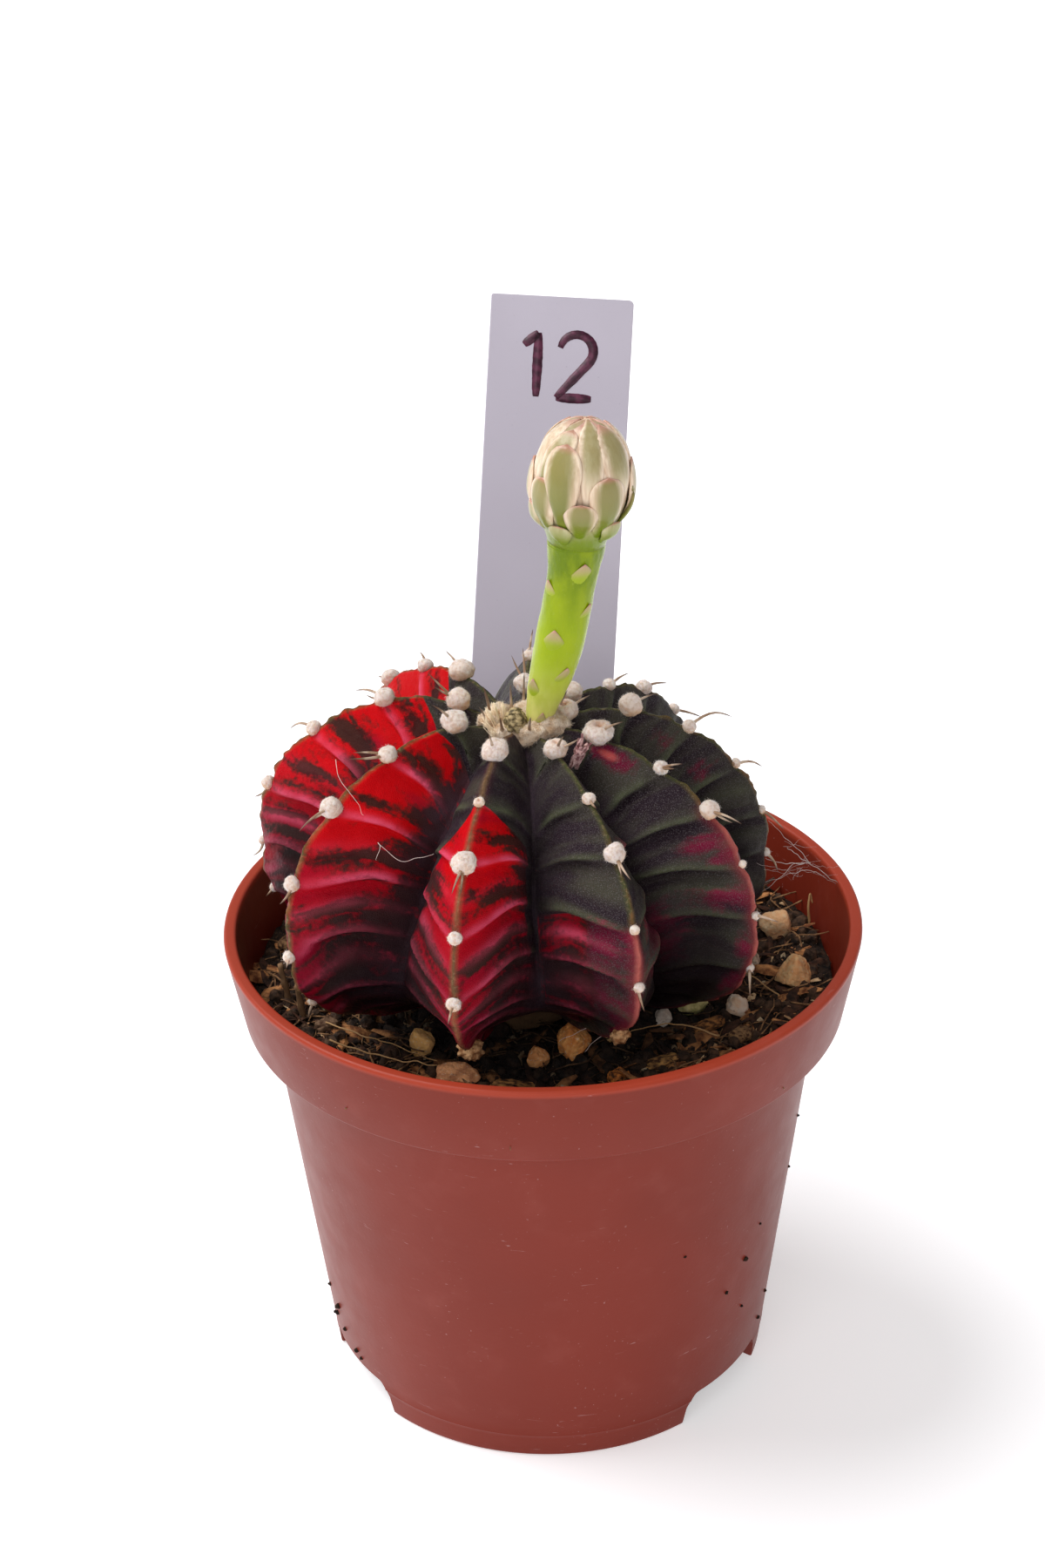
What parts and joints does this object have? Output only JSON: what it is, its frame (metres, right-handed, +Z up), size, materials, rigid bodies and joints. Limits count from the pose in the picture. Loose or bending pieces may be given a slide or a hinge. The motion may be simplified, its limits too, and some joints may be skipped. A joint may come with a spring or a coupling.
{
  "type": "potted moon cactus",
  "caption": "Ribbed red and dark green cactus with woolly, spined areoles and an upright flower bud, in a small tapered plastic nursery pot with gritty soil and a plant label.",
  "frame": {"origin": "centre of the pot's flat underside, in the plane that the pot stands on", "axes": "+Z up along the pot's axis, +X to the viewer's right, +Y to the back, where the plant label stands"},
  "size_m": [0.0698, 0.0934, 0.1143],
  "materials": {
    "pot": "satin moulded terracotta-coloured plastic, lightly scratched and dusty",
    "soil": "damp dark peat with fibres and crumbs",
    "cactus_skin": "fine-grained satin skin, red sectors blotched olive and dark green-purple sectors, corky crests",
    "wool": "cream areole wool",
    "spine": "dry tan-brown horn",
    "flower_tube": "smooth waxy yellow-green skin",
    "tepal": "cream tepals with olive-green bands and pinkish tips",
    "dried_petal": "dry papery pink-brown",
    "label": "satin pale lavender-grey plastic sheet",
    "ink": "dark aubergine marker ink",
    "grit": "rough tan, beige and greyish gravel",
    "bark": "rough fibrous bark chips",
    "twig": "dry broken twigs"
  },
  "bodies": {
    "root": {"pot": "pot", "soil": "soil", "cactus_body": "cactus_skin", "flower_tube": "flower_tube", "flower_bud": "tepal", "dried_flower": "dried_petal", "plant_label": "label", "grit_01": "grit", "grit_02": "grit", "grit_03": "grit", "grit_04": "grit", "grit_05": "grit", "grit_06": "grit", "grit_07": "grit", "grit_08": "grit", "grit_09": "grit", "grit_10": "grit", "grit_11": "grit", "grit_12": "grit", "grit_13": "grit", "grit_14": "grit", "grit_15": "grit", "bark_01": "bark", "bark_02": "bark", "bark_03": "bark", "bark_04": "bark", "bark_05": "bark", "bark_06": "bark", "bark_07": "bark", "bark_08": "bark", "twig_01": "twig", "twig_02": "twig"}
  },
  "joints": []
}
